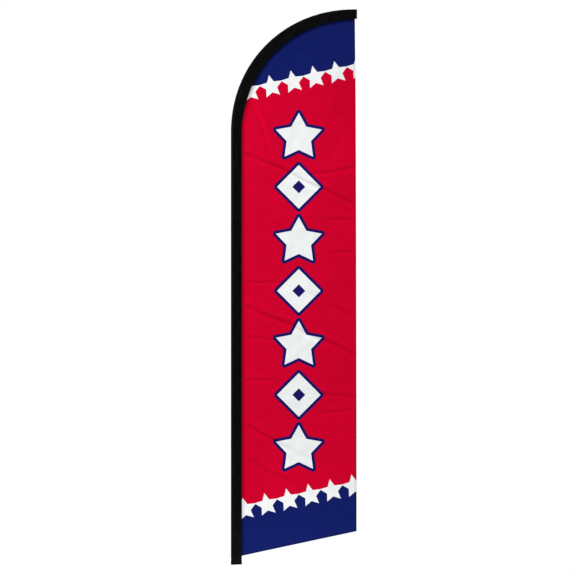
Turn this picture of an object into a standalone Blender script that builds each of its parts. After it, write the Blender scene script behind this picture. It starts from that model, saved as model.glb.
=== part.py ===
# Feather flag with its pole: a cloth panel sewn to a sleeve, on a slip-fit pole that turns on a foot swivel.
# Metres. Origin at the centre of the pole's foot, +Z up the pole, +X towards the free edge of the cloth.
import math

import bmesh
import bpy
from mathutils import Vector

GAP = 0.0003                 # clearance between pieces that touch

# Overall shape
HEIGHT = 3.505               # foot face to the top of the bent sleeve
BEND_REACH = 0.7617          # pole axis to where the bend lies level
BEND_RISE = 0.7617           # height of the bend
BEND_POWER = 2.052           # 2 is an ellipse, more is squarer
LEVEL_END = 0.0191           # level stretch past the bend

# Cloth
SLEEVE_WALL = 0.0005
SLEEVE_WIDTH_FOOT = 0.069    # outer edge to seam, laid flat
SLEEVE_WIDTH_TIP = 0.0645
SLEEVE_HEM_HEIGHT = 0.003    # the hem stops this far above the foot face
SEAM_LIP = 0.010             # stitched lip where the sleeve closes
INNER_LIP_HALF = 0.00015
SLEEVE_PAST_PANEL = 0.0138   # the sleeve's end stands past the panel
PANEL_THICKNESS = 0.0008
PANEL_SEAM_FOOT = 0.058      # height of the panel's lower corner at the sleeve
PANEL_FOOT_SLOPE = math.radians(12.15)
FLY_FLARE = 0.008            # the free edge stands further out at the foot than at the top
FLY_STEPS = 8
TAPE_THICKNESS = 0.0006
TAPE_ON_SLEEVE = 0.008
TAPE_ON_PANEL = 0.010
BINDING_HEIGHT = 0.025
BINDING_WALL = 0.0005
POCKET_DEPTH = 0.050
POCKET_WALL = 0.0008
POCKET_WIDTH = 0.040         # outer edge to the pocket's own seam
POCKET_END = 0.0015

# Pole tubes
TUBE_RADIUS = 0.014
TUBE_WALL = 0.0012
SPIGOT_WALL = 0.0015
SPIGOT_SEATED = 0.080        # length fixed inside the tube below
SPIGOT_FREE = 0.120          # length that the next tube slides over
RIVET_RADIUS = 0.0020
RIVET_DROP = 0.030           # rivet below the top of its tube
FERRULE_HEIGHT = 0.0020

# Tip
ROD_RADIUS_FOOT = 0.0065
ROD_RADIUS_TIP = 0.0040
ROD_SEATED = 0.090           # length of rod inside its adapter
ADAPTER_BELOW_BEND = 0.002
ADAPTER_PLUG = 0.120         # length of adapter inside the upper tube
COLLAR_HEIGHT = 0.008
CONE_HEIGHT = 0.045
CONE_TIP_WALL = 0.0020
EASE_LENGTH = 0.300          # the sleeve's round edge closes from tube size to rod size over this
CAP_WALL = 0.0012
CAP_DEPTH = 0.030
CAP_END = 0.0030

# Foot swivel
SPINDLE_RADIUS = 0.008
SPINDLE_LENGTH = 0.146
SPINDLE_CHAMFER = 0.001
FOOT_PLATE_INSET = 0.0005    # the plate and washer are this much smaller than the tube
FOOT_PLATE_HEIGHT = 0.004
WASHER_HEIGHT = 0.0015
BUSH_FLANGE_HEIGHT = 0.0020
BUSH_HEIGHT = 0.022
CLIP_GROOVE_DEPTH = 0.0015
CLIP_HEIGHT = 0.0012
CLIP_STAND_OUT = 0.0028
CLIP_BELOW_TOP = 0.006

# Fineness
ROUND_STEPS = 48
NOSE_STEPS = 16
RIVET_STEPS = 24
BEND_STEPS = 44
ROD_RESOLUTION = 6

# Worked out from the values above
sleeveReach = BEND_REACH + LEVEL_END
flyTopReach = sleeveReach - SLEEVE_PAST_PANEL
noseFoot = TUBE_RADIUS + GAP + SLEEVE_WALL
plateRadius = TUBE_RADIUS - FOOT_PLATE_INSET
capRadius = ROD_RADIUS_TIP + GAP + CAP_WALL
noseBend = max(capRadius + GAP + POCKET_WALL, ROD_RADIUS_FOOT) + GAP + SLEEVE_WALL
bendTop = HEIGHT - noseFoot
bendFoot = bendTop - BEND_RISE
tubeBore = TUBE_RADIUS - TUBE_WALL
plugRadius = tubeBore - GAP
jointStack = FERRULE_HEIGHT + 2 * GAP
washerFoot = FOOT_PLATE_HEIGHT + GAP
flangeFoot = washerFoot + WASHER_HEIGHT + GAP
flangeTop = flangeFoot + BUSH_FLANGE_HEIGHT
lowerTubeFoot = flangeTop + GAP
adapterTop = bendFoot - ADAPTER_BELOW_BEND
collarFoot = adapterTop - CONE_HEIGHT - COLLAR_HEIGHT
tubeLength = (collarFoot - lowerTubeFoot) / 3 - jointStack
middleTubeFoot = lowerTubeFoot + tubeLength + jointStack
upperTubeFoot = middleTubeFoot + tubeLength + jointStack

for old in list(bpy.data.objects):
    bpy.data.objects.remove(old, do_unlink=True)

parts = bpy.data.collections.new("feather_flag")
cutters = bpy.data.collections.new("cutters")
bpy.context.scene.collection.children.link(parts)
bpy.context.scene.collection.children.link(cutters)


def material(name, colour, roughness, metallic=0.0):
    made = bpy.data.materials.new(name)
    made.use_nodes = True
    shader = made.node_tree.nodes["Principled BSDF"]
    shader.inputs["Base Color"].default_value = (*colour, 1.0)
    shader.inputs["Roughness"].default_value = roughness
    shader.inputs["Metallic"].default_value = metallic
    return made


def addObject(name, data, surface):
    made = bpy.data.objects.new(name, data)
    data.materials.append(surface)
    parts.objects.link(made)
    return made


def shadeSmooth(mesh):
    mesh.shade_smooth()
    mesh.set_sharp_from_angle(angle=math.radians(30))


def jointEmpty(name, height, parent=None):
    # an empty on the pole's axis; the pieces that move with the joint hang under it
    made = bpy.data.objects.new(name, None)
    made.empty_display_type = "ARROWS"
    made.empty_display_size = 0.05
    made["height"] = height
    made.parent = parent
    made.location.z = height - (parent["height"] if parent else 0.0)
    parts.objects.link(made)
    return made


def hangUnder(piece, parent):
    # parents a piece that was modelled in world coordinates and leaves it where it is
    piece.parent = parent
    piece.location.z -= parent["height"]


def turned(name, profile, surface):
    # spins (radius, height) points about +Z: down the outer side, then back up the bore or the axis
    count = len(profile)
    edges = [(i, (i + 1) % count) for i in range(count)]
    edges = [edge for edge in edges if profile[edge[0]][0] > 0 or profile[edge[1]][0] > 0]
    mesh = bpy.data.meshes.new(name)
    mesh.from_pydata([(radius, 0, height) for radius, height in profile], edges, [])
    made = addObject(name, mesh, surface)
    spin = made.modifiers.new("spin", "SCREW")
    spin.axis = "Z"
    spin.steps = ROUND_STEPS
    spin.render_steps = ROUND_STEPS
    spin.use_merge_vertices = True
    spin.merge_threshold = 0.00001
    spin.use_smooth_shade = True
    return made


def ring(outer, inner, foot, top):
    return [(outer, top), (outer, foot), (inner, foot), (inner, top)]


def crossPin(name, radius, length, height):
    # a plain pin lying along Y through the pole's axis
    mesh = bpy.data.meshes.new(name)
    body = bmesh.new()
    bmesh.ops.create_cone(body, cap_ends=True, segments=RIVET_STEPS, radius1=radius, radius2=radius,
                          depth=length)
    body.to_mesh(mesh)
    body.free()
    made = bpy.data.objects.new(name, mesh)
    made.rotation_euler.x = math.pi / 2
    made.location.z = height
    return made


def cutHole(cutter, targets):
    cutter.display_type = "WIRE"
    cutter.hide_render = True
    cutters.objects.link(cutter)
    for target in targets:
        cut = target.modifiers.new("rivet hole", "BOOLEAN")
        cut.operation = "DIFFERENCE"
        cut.solver = "EXACT"
        cut.object = cutter


def smoothStep(value):
    value = min(1.0, max(0.0, value))
    return value * value * (3 - 2 * value)


# The bent path that the sleeve, the seam and the rod follow. turn runs from 0, upright at the foot of
# the bend, to 1, level at its top.

def bendPoint(turn):
    angle = turn * math.pi / 2
    across = 1 - max(0.0, math.cos(angle)) ** (2 / BEND_POWER)
    rise = math.sin(angle) ** (2 / BEND_POWER)
    return Vector((BEND_REACH * across, 0, bendFoot + BEND_RISE * rise))


def bendInward(turn):
    # unit direction from the sleeve's outer edge towards the panel
    if turn <= 0:
        return Vector((1, 0, 0))
    if turn >= 1:
        return Vector((0, 0, -1))
    step = 0.0005
    along = bendPoint(min(1, turn + step)) - bendPoint(max(0, turn - step))
    along.normalize()
    return Vector((along.z, 0, -along.x))


def pathStations(foot, reach, straightSteps):
    # (point, inward, turn) up the straight, round the bend and out level
    stations = []
    for i in range(straightSteps):
        height = foot + (bendFoot - foot) * i / straightSteps
        stations.append((Vector((0, 0, height)), bendInward(0), 0.0))
    for i in range(BEND_STEPS + 1):
        turn = i / BEND_STEPS
        stations.append((bendPoint(turn), bendInward(turn), turn))
    stations.append((Vector((reach, 0, bendTop)), bendInward(1), 1.0))
    return stations


def sleeveWidth(turn):
    return SLEEVE_WIDTH_FOOT + (SLEEVE_WIDTH_TIP - SLEEVE_WIDTH_FOOT) * turn


def seamAcross(turn):
    return sleeveWidth(turn) - noseFoot


def noseRadius(point):
    # the sleeve's round outer edge: tube size up the pole, rod size round the bend
    travelled = point.x + point.z - adapterTop
    return noseFoot + (noseBend - noseFoot) * smoothStep(travelled / EASE_LENGTH)


def noseCentre(point):
    return noseRadius(point) - noseFoot


def centreAt(reach):
    # centre of the sleeve's round edge at a distance from the pole's axis
    line = [point + inward * noseCentre(point) for point, inward, _ in pathStations(0, sleeveReach, 0)]
    for before, after in zip(line, line[1:]):
        if before.x <= reach <= after.x:
            return before.lerp(after, (reach - before.x) / (after.x - before.x))
    return line[-1]


def tangentAngle(centre, radius, corner):
    # where a line from the corner touches the nose, as an angle about the nose's centre
    across = corner[0] - centre
    return math.atan2(corner[1], across) + math.acos(radius / math.hypot(across, corner[1]))


def teardrop(centre, radius, lipStart, lipEnd=None):
    # (across, thickness) points round a nose and a flat lip; without lipEnd the tail is a plain wedge
    touch = tangentAngle(centre, radius, lipStart)
    arc = []
    for i in range(NOSE_STEPS + 1):
        angle = touch + (2 * math.pi - 2 * touch) * i / NOSE_STEPS
        arc.append((centre + radius * math.cos(angle), radius * math.sin(angle)))
    if lipEnd:
        tail = [lipStart, lipEnd]
    else:
        middle = ((arc[0][0] + lipStart[0]) / 2, (arc[0][1] + lipStart[1]) / 2)
        tail = [middle, lipStart]
    lower = [(across, -half) for across, half in tail]
    return arc + lower + tail[::-1]


def ringAt(station, section):
    point, inward, _ = station
    return [point + inward * across + Vector((0, thick, 0)) for across, thick in section]


def outsideSection(station, stand):
    # the sleeve's outer face, or a skin standing outside it
    point, _, turn = station
    seam = seamAcross(turn)
    half = SLEEVE_WALL + stand
    radius = noseRadius(point) + stand
    return teardrop(noseCentre(point), radius, (seam - SEAM_LIP, half), (seam + stand, half))


def insideSection(station):
    point, _, turn = station
    lipStart = (seamAcross(turn) - SEAM_LIP, INNER_LIP_HALF)
    return teardrop(noseCentre(point), noseRadius(point) - SLEEVE_WALL, lipStart)


def pocketSection(station, inset):
    # a wedge inside the sleeve, GAP clear of it, moved further in by inset
    point, _, turn = station
    centre = noseCentre(point)
    sleeveInside = noseRadius(point) - SLEEVE_WALL
    lipAcross = seamAcross(turn) - SEAM_LIP
    tailAcross = POCKET_WIDTH - noseFoot
    share = (tailAcross - centre) / (lipAcross - centre)
    tailHalf = sleeveInside + (INNER_LIP_HALF - sleeveInside) * share - GAP - inset
    return teardrop(centre, sleeveInside - GAP - inset, (tailAcross - inset, tailHalf))


def bridgeRings(rings, firstIndex):
    count = len(rings[0])
    faces = []
    for row in range(len(rings) - 1):
        low = firstIndex + row * count
        for i in range(count):
            j = (i + 1) % count
            faces.append((low + i, low + j, low + count + j, low + count + i))
    return faces


def loft(name, outerRings, innerRings, surface, closedEnd=False):
    # a shell between two stacks of section rings, open at both ends or closed at the far one
    count = len(outerRings[0])
    points = [point for ringPoints in outerRings + innerRings for point in ringPoints]
    innerFirst = len(outerRings) * count
    outerLast = innerFirst - count
    innerLast = len(points) - count
    faces = bridgeRings(outerRings, 0) + bridgeRings(innerRings, innerFirst)
    for i in range(count):
        j = (i + 1) % count
        faces.append((i, j, innerFirst + j, innerFirst + i))
        if not closedEnd:
            faces.append((outerLast + i, outerLast + j, innerLast + j, innerLast + i))
    if closedEnd:
        faces.append(tuple(range(outerLast, outerLast + count)))
        faces.append(tuple(range(innerLast, innerLast + count)))
    mesh = bpy.data.meshes.new(name)
    mesh.from_pydata(points, [], faces)
    body = bmesh.new()
    body.from_mesh(mesh)
    bmesh.ops.recalc_face_normals(body, faces=body.faces)
    body.to_mesh(mesh)
    body.free()
    shadeSmooth(mesh)
    return addObject(name, mesh, surface)


def edgeLine(beyondSeam, foot, reach):
    # points along the seam, moved towards the panel, from a height round to a reach
    line = []
    for point, inward, turn in pathStations(foot, sleeveReach, 1):
        place = point + inward * (seamAcross(turn) + beyondSeam)
        if place.x >= reach:
            share = (reach - line[-1].x) / (place.x - line[-1].x)
            line.append(line[-1].lerp(place, share))
            return line
        line.append(place)
    return line


def flatCloth(name, outline, front, back, surface):
    # a flat outline in the XZ plane with its two faces at Y values front and back
    curve = bpy.data.curves.new(name, "CURVE")
    curve.dimensions = "2D"
    curve.fill_mode = "BOTH"
    curve.extrude = (back - front) / 2
    spline = curve.splines.new("POLY")
    spline.points.add(len(outline) - 1)
    for corner, place in zip(spline.points, outline):
        corner.co = (place.x, place.z, 0, 1)
    spline.use_cyclic_u = True
    made = addObject(name, curve, surface)
    made.rotation_euler.x = math.pi / 2
    made.location.y = (front + back) / 2
    return made


printedCloth = material("printed_cloth", (0.62, 0.003, 0.027), 0.8)
blackCloth = material("black_cloth", (0.006, 0.006, 0.007), 0.85)
blackTape = material("black_tape", (0.008, 0.008, 0.009), 0.8)
webbing = material("webbing", (0.010, 0.010, 0.011), 0.75)
satinAluminium = material("satin_aluminium", (0.60, 0.61, 0.62), 0.35, 1.0)
rivetAluminium = material("rivet_aluminium", (0.66, 0.66, 0.67), 0.3, 1.0)
blackNylon = material("black_nylon", (0.012, 0.012, 0.013), 0.5)
fibreglass = material("fibreglass", (0.045, 0.045, 0.042), 0.35)
blackRubber = material("black_rubber", (0.010, 0.010, 0.010), 0.7)
whiteNylon = material("white_nylon", (0.72, 0.71, 0.67), 0.5)
zincSteel = material("zinc_steel", (0.55, 0.56, 0.58), 0.3, 1.0)
springSteel = material("spring_steel", (0.30, 0.30, 0.31), 0.35, 1.0)

swivelJoint = jointEmpty("flag_swivel", 0.0)
lowerJoint = jointEmpty("lower_joint", middleTubeFoot, swivelJoint)
middleJoint = jointEmpty("middle_joint", upperTubeFoot, lowerJoint)
tipJoint = jointEmpty("tip_joint", collarFoot, middleJoint)


def makeFootSwivel():
    # the spindle stands still on the ground base; the bushes turn on it with the pole
    grooveTop = SPINDLE_LENGTH - CLIP_BELOW_TOP
    grooveFoot = grooveTop - CLIP_HEIGHT - 2 * GAP
    grooveRadius = SPINDLE_RADIUS - CLIP_GROOVE_DEPTH
    upperBushTop = grooveFoot
    turned("foot_spindle", [
        (0, SPINDLE_LENGTH),
        (SPINDLE_RADIUS - SPINDLE_CHAMFER, SPINDLE_LENGTH),
        (SPINDLE_RADIUS, SPINDLE_LENGTH - SPINDLE_CHAMFER),
        (SPINDLE_RADIUS, grooveTop),
        (grooveRadius, grooveTop),
        (grooveRadius, grooveFoot),
        (SPINDLE_RADIUS, grooveFoot),
        (SPINDLE_RADIUS, FOOT_PLATE_HEIGHT),
        (plateRadius, FOOT_PLATE_HEIGHT),
        (plateRadius, 0),
        (0, 0),
    ], zincSteel)
    bore = SPINDLE_RADIUS + GAP
    turned("thrust_washer", ring(plateRadius, bore, washerFoot, washerFoot + WASHER_HEIGHT), whiteNylon)
    clipFoot = grooveFoot + GAP
    turned("retaining_clip", ring(SPINDLE_RADIUS + CLIP_STAND_OUT, grooveRadius + GAP, clipFoot,
                                  clipFoot + CLIP_HEIGHT), springSteel)
    lowerBush = turned("lower_bush", [
        (plugRadius, flangeTop + BUSH_HEIGHT),
        (plugRadius, flangeTop),
        (TUBE_RADIUS, flangeTop),
        (TUBE_RADIUS, flangeFoot),
        (bore, flangeFoot),
        (bore, flangeTop + BUSH_HEIGHT),
    ], whiteNylon)
    upperBush = turned("upper_bush", ring(plugRadius, bore, upperBushTop - BUSH_HEIGHT, upperBushTop),
                       whiteNylon)
    hangUnder(lowerBush, swivelJoint)
    hangUnder(upperBush, swivelJoint)


def makePoleSection(section, foot, joint):
    # one tube with the plastic ferrule on its top end
    top = foot + tubeLength
    tube = turned(section + "_tube", ring(TUBE_RADIUS, tubeBore, foot, top), satinAluminium)
    ferrule = turned(section + "_ferrule", ring(TUBE_RADIUS, tubeBore, top + GAP, top + GAP + FERRULE_HEIGHT),
                     blackNylon)
    hangUnder(tube, joint)
    hangUnder(ferrule, joint)
    return tube


def makeSpigot(section, tube, foot, joint):
    # the inner tube that carries the next section, held by a rivet
    top = foot + tubeLength
    spigot = turned(section + "_spigot", ring(plugRadius, plugRadius - SPIGOT_WALL, top - SPIGOT_SEATED,
                                              top + SPIGOT_FREE), satinAluminium)
    hangUnder(spigot, joint)
    height = top - RIVET_DROP
    cutHole(crossPin(section + "_rivet_hole", RIVET_RADIUS + GAP, 4 * TUBE_RADIUS, height), [tube, spigot])
    rivet = crossPin(section + "_rivet", RIVET_RADIUS, 2 * (TUBE_RADIUS - GAP), height)
    rivet.data.materials.append(rivetAluminium)
    parts.objects.link(rivet)
    shadeSmooth(rivet.data)
    hangUnder(rivet, joint)


def makeAdapter():
    # plugs the upper tube and holds the foot of the rod
    bore = ROD_RADIUS_FOOT + GAP
    boreFloor = adapterTop - ROD_SEATED - GAP
    plugFoot = min(collarFoot - ADAPTER_PLUG, boreFloor - TUBE_WALL)
    adapter = turned("tip_adapter", [
        (bore + CONE_TIP_WALL, adapterTop),
        (TUBE_RADIUS, adapterTop - CONE_HEIGHT),
        (TUBE_RADIUS, collarFoot),
        (plugRadius, collarFoot),
        (plugRadius, plugFoot),
        (0, plugFoot),
        (0, boreFloor),
        (bore, boreFloor),
        (bore, adapterTop),
    ], blackNylon)
    hangUnder(adapter, tipJoint)


def makeRod(rodReach):
    # tapered and bent; its centre follows the centre of the sleeve's round edge
    places = [Vector((0, 0, adapterTop - ROD_SEATED)), Vector((0, 0, adapterTop))]
    for point, inward, _ in pathStations(0, rodReach, 0):
        if point.z > adapterTop and point.x < rodReach:
            places.append(point + inward * noseCentre(point))
    places.append(centreAt(rodReach))
    lengths = [0.0]
    for before, after in zip(places, places[1:]):
        lengths.append(lengths[-1] + (after - before).length)
    curve = bpy.data.curves.new("tip_rod", "CURVE")
    curve.dimensions = "3D"
    curve.bevel_depth = 1.0
    curve.bevel_resolution = ROD_RESOLUTION
    curve.use_fill_caps = True
    spline = curve.splines.new("POLY")
    spline.points.add(len(places) - 1)
    for corner, place, travelled in zip(spline.points, places, lengths):
        share = max(0.0, travelled - ROD_SEATED) / (lengths[-1] - ROD_SEATED)
        corner.co = (*place, 1)
        corner.radius = ROD_RADIUS_FOOT + (ROD_RADIUS_TIP - ROD_RADIUS_FOOT) * share
    spline.use_smooth = True
    rod = addObject("tip_rod", curve, fibreglass)
    hangUnder(rod, tipJoint)


def makeCap(capReach):
    # rubber cap over the rod's end, modelled upright and laid over along the rod
    bore = ROD_RADIUS_TIP + GAP
    cap = turned("tip_cap", [
        (0, 0),
        (capRadius - CAP_WALL, 0),
        (capRadius, -CAP_WALL),
        (capRadius, -CAP_DEPTH),
        (bore, -CAP_DEPTH),
        (bore, -CAP_END),
        (0, -CAP_END),
    ], blackRubber)
    end = centreAt(capReach)
    along = end - centreAt(capReach - CAP_DEPTH)
    cap.rotation_euler = along.to_track_quat("Z", "Y").to_euler()
    cap.location = end
    hangUnder(cap, tipJoint)


def makeCloth():
    stations = pathStations(SLEEVE_HEM_HEIGHT, sleeveReach, 4)
    outside = [ringAt(station, outsideSection(station, 0)) for station in stations]
    inside = [ringAt(station, insideSection(station)) for station in stations]
    sleeve = loft("pole_sleeve", outside, inside, blackCloth)

    hem = [(Vector((0, 0, SLEEVE_HEM_HEIGHT + rise)), bendInward(0), 0.0) for rise in (0, BINDING_HEIGHT)]
    outside = [ringAt(station, outsideSection(station, GAP + BINDING_WALL)) for station in hem]
    inside = [ringAt(station, outsideSection(station, GAP)) for station in hem]
    binding = loft("foot_binding", outside, inside, blackTape)

    mouth = sleeveReach - POCKET_DEPTH
    near = [station for station in stations if mouth < station[0].x < sleeveReach - POCKET_END]
    deep = near + [(Vector((sleeveReach - POCKET_END, 0, bendTop)), bendInward(1), 1.0)]
    outside = [ringAt(station, pocketSection(station, 0)) for station in near + [stations[-1]]]
    inside = [ringAt(station, pocketSection(station, POCKET_WALL)) for station in deep]
    pocket = loft("tip_pocket", outside, inside, webbing, closedEnd=True)

    seamLine = edgeLine(GAP, PANEL_SEAM_FOOT, flyTopReach)
    flyTop = seamLine[-1]
    flyFoot = Vector((flyTop.x + FLY_FLARE, 0, 0))
    flyFoot.z = PANEL_SEAM_FOOT + (flyFoot.x - seamLine[0].x) * math.tan(PANEL_FOOT_SLOPE)
    flyLine = []
    for i in range(1, FLY_STEPS + 1):
        share = 1 - i / FLY_STEPS
        reach = flyTop.x + FLY_FLARE * (1 - share ** 2)
        flyLine.append(Vector((reach, 0, flyFoot.z + (flyTop.z - flyFoot.z) * share)))
    half = PANEL_THICKNESS / 2
    panel = flatCloth("flag_panel", seamLine + flyLine, -half, half, printedCloth)

    tapeFront = SLEEVE_WALL + GAP
    tapeOuter = edgeLine(-TAPE_ON_SLEEVE, PANEL_SEAM_FOOT, flyTopReach)
    tapeInner = edgeLine(TAPE_ON_PANEL, PANEL_SEAM_FOOT, flyTopReach)
    tape = flatCloth("seam_tape", tapeOuter + tapeInner[::-1], tapeFront, tapeFront + TAPE_THICKNESS,
                     blackTape)

    for piece in (sleeve, binding, pocket, panel, tape):
        hangUnder(piece, tipJoint)


makeFootSwivel()
lowerTube = makePoleSection("lower", lowerTubeFoot, swivelJoint)
middleTube = makePoleSection("middle", middleTubeFoot, lowerJoint)
makePoleSection("upper", upperTubeFoot, middleJoint)
makeSpigot("lower", lowerTube, lowerTubeFoot, swivelJoint)
makeSpigot("middle", middleTube, middleTubeFoot, lowerJoint)
makeAdapter()
capEnd = sleeveReach - POCKET_END - GAP
makeRod(capEnd - CAP_END - GAP)
makeCap(capEnd)
makeCloth()
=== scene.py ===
import math

import bpy
import numpy as np
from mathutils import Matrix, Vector, geometry, noise


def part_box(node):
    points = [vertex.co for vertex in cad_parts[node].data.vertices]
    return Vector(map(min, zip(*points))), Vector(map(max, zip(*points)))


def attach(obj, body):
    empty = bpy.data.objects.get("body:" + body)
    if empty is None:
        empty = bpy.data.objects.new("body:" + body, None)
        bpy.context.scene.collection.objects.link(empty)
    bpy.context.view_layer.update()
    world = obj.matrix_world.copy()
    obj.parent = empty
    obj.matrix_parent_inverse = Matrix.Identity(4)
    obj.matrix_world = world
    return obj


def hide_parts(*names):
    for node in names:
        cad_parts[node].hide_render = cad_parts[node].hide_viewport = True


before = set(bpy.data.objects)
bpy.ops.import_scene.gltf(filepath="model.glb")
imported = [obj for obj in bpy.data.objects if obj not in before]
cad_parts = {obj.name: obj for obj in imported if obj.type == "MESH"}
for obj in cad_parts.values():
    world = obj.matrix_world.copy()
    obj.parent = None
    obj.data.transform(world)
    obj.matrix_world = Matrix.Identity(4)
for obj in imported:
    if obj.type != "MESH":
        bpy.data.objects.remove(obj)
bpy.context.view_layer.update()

# The bend that the sleeve, the seam and the rod follow, in metres from the centre of the pole's foot.
bend = {
    "reach": 0.7617,            # pole axis to where the bend lies level
    "rise": 0.7617,
    "power": 2.052,             # 2 is an ellipse, more is squarer
}
sleeveLow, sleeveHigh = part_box("pole_sleeve")
panelLow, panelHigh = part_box("flag_panel")
noseFoot = -sleeveLow.x         # the round edge of the sleeve, on the tubes
bendTop = sleeveHigh.z - noseFoot
bendFoot = bendTop - bend["rise"]


# ---- camera, floor and light

camera = {
    "lens": 250.0,
    "sensor": 36.0,
    "field": 3.6335,            # metres seen across the picture at the flag
    "lookX": 0.3453,
    "lookZ": 1.7470,
}
studio = {
    "white": (1.0, 1.0, 1.0),
    "skyStrength": 0.32,
    "floorRadius": 0.75,
    "floorColour": (0.36, 0.36, 0.358),
    "floorGlow": 0.80,
    "sunFrom": (-0.22, -0.52, 0.82),
    "sunSpread": 16.0,          # degrees
    "sunPower": 1.75,
    "fillPlace": (-3.3, -2.7, 3.5),
    "fillSize": 2.4,
    "fillPower": 160.0,
    "backPlace": (1.5, 5.5, 5.0),
    "backSize": 3.0,
    "backPower": 160.0,
}
lookAt = Vector((camera["lookX"], 0, camera["lookZ"]))


def addNode(tree, kind, settings=None, inputs=None):
    made = tree.nodes.new(kind)
    for name, value in (settings or {}).items():
        setattr(made, name, value)
    for name, value in (inputs or {}).items():
        if isinstance(value, bpy.types.NodeSocket):
            tree.links.new(value, made.inputs[name])
        else:
            made.inputs[name].default_value = value
    return made


def makeCamera():
    data = bpy.data.cameras.new("camera")
    data.lens = camera["lens"]
    data.sensor_width = camera["sensor"]
    distance = camera["field"] * camera["lens"] / camera["sensor"]
    data.clip_end = 4 * distance
    made = bpy.data.objects.new("camera", data)
    made.location = lookAt - Vector((0, distance, 0))
    made.rotation_euler = (math.radians(90), 0, 0)
    bpy.context.scene.collection.objects.link(made)
    bpy.context.scene.camera = made


def makeSky():
    # pure white where the camera sees it, softer where it lights the flag
    world = bpy.data.worlds.new("studio")
    bpy.context.scene.world = world
    world.use_nodes = True
    tree = world.node_tree
    tree.nodes.clear()
    light = addNode(tree, "ShaderNodeBackground",
                    inputs={"Color": (*studio["white"], 1), "Strength": studio["skyStrength"]})
    seen = addNode(tree, "ShaderNodeBackground", inputs={"Color": (*studio["white"], 1), "Strength": 1.0})
    toCamera = addNode(tree, "ShaderNodeLightPath").outputs["Is Camera Ray"]
    mix = addNode(tree, "ShaderNodeMixShader",
                  inputs={0: toCamera, 1: light.outputs[0], 2: seen.outputs[0]})
    addNode(tree, "ShaderNodeOutputWorld", inputs={"Surface": mix.outputs[0]})


def makeFloor():
    bpy.ops.mesh.primitive_circle_add(vertices=96, radius=studio["floorRadius"], fill_type="NGON",
                                      location=(lookAt.x, 0, 0))
    floor = bpy.context.object
    floor.name = "studio_floor"
    surface = bpy.data.materials.new("studio floor")
    surface.use_nodes = True
    shader = surface.node_tree.nodes["Principled BSDF"]
    shader.inputs["Base Color"].default_value = (*studio["floorColour"], 1)
    shader.inputs["Roughness"].default_value = 0.9
    shader.inputs["Emission Color"].default_value = (*studio["white"], 1)
    shader.inputs["Emission Strength"].default_value = studio["floorGlow"]
    floor.data.materials.append(surface)


def addLight(name, kind, place, power):
    data = bpy.data.lights.new(name, kind)
    data.energy = power
    made = bpy.data.objects.new(name, data)
    made.location = place
    made.rotation_euler = (lookAt - Vector(place)).to_track_quat("-Z", "Y").to_euler()
    bpy.context.scene.collection.objects.link(made)
    return data


def addSoftbox(name):
    data = addLight(name + "_light", "AREA", studio[name + "Place"], studio[name + "Power"])
    data.shape = "DISK"
    data.size = studio[name + "Size"]


def addHighLight():
    # an even light from high on the left, low enough across the cloth to show its creases
    data = addLight("high_light", "SUN", lookAt + 6 * Vector(studio["sunFrom"]), studio["sunPower"])
    data.angle = math.radians(studio["sunSpread"])


makeCamera()
makeSky()
makeFloor()
addHighLight()
addSoftbox("fill")
addSoftbox("back")
bpy.context.scene.view_settings.view_transform = "Standard"
print("camera, floor and lights are set")


# ---- finishes

def newFinish(name, colour, roughness, metallic=0.0, specular=0.5):
    made = bpy.data.materials.new(name)
    made.use_nodes = True
    tree = made.node_tree
    shader = tree.nodes["Principled BSDF"]
    shader.inputs["Base Color"].default_value = (*colour, 1)
    shader.inputs["Roughness"].default_value = roughness
    shader.inputs["Metallic"].default_value = metallic
    shader.inputs["Specular IOR Level"].default_value = specular
    return made, tree, shader


def link(tree, output, shader, socket):
    tree.links.new(output, shader.inputs[socket])


def calc(tree, operation, first, second=0.0, third=0.0):
    return addNode(tree, "ShaderNodeMath", {"operation": operation},
                   {0: first, 1: second, 2: third}).outputs[0]


def product(tree, first, *others):
    for other in others:
        first = calc(tree, "MULTIPLY", first, other)
    return first


def onPiece(tree):
    return addNode(tree, "ShaderNodeTexCoord").outputs["Object"]


def onCloth(tree):
    # the cloth's own flat measure, in metres
    return addNode(tree, "ShaderNodeUVMap", {"uv_map": "cloth"}).outputs[0]


def speckle(tree, where, scale, detail=3.0, roughness=0.55, stretch=None):
    if stretch:
        where = addNode(tree, "ShaderNodeMapping", inputs={"Vector": where, "Scale": stretch}).outputs[0]
    made = addNode(tree, "ShaderNodeTexNoise", inputs={"Vector": where, "Scale": scale, "Detail": detail,
                                                       "Roughness": roughness})
    return made.outputs["Fac"]


def fromTo(tree, value, low, high, newLow, newHigh):
    inputs = {"Value": value, "From Min": low, "From Max": high, "To Min": newLow, "To Max": newHigh}
    made = addNode(tree, "ShaderNodeMapRange", {"interpolation_type": "SMOOTHSTEP"}, inputs)
    return made.outputs["Result"]


def shadeColour(tree, colour, amount):
    # multiplies a colour by a grey amount
    grey = addNode(tree, "ShaderNodeCombineColor", inputs=dict.fromkeys(("Red", "Green", "Blue"), amount))
    mix = addNode(tree, "ShaderNodeMix", {"data_type": "RGBA", "blend_type": "MULTIPLY"},
                  {"Factor": 1.0, 6: (*colour, 1), 7: grey.outputs[0]})
    return mix.outputs[2]


def weave(tree, where, pitch, twill=0.0):
    # over-and-under threads, 0 to 1
    split = addNode(tree, "ShaderNodeSeparateXYZ", inputs={0: where})
    turns = 2 * math.pi / pitch
    along = calc(tree, "MULTIPLY", split.outputs[0], turns)
    across = calc(tree, "MULTIPLY", split.outputs[1], turns)
    if twill:
        across = calc(tree, "MULTIPLY_ADD", split.outputs[0], turns * twill, across)
    first = calc(tree, "SINE", along)
    second = calc(tree, "SINE", across)
    return calc(tree, "MULTIPLY_ADD", calc(tree, "MULTIPLY", first, second), 0.5, 0.5)


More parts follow.
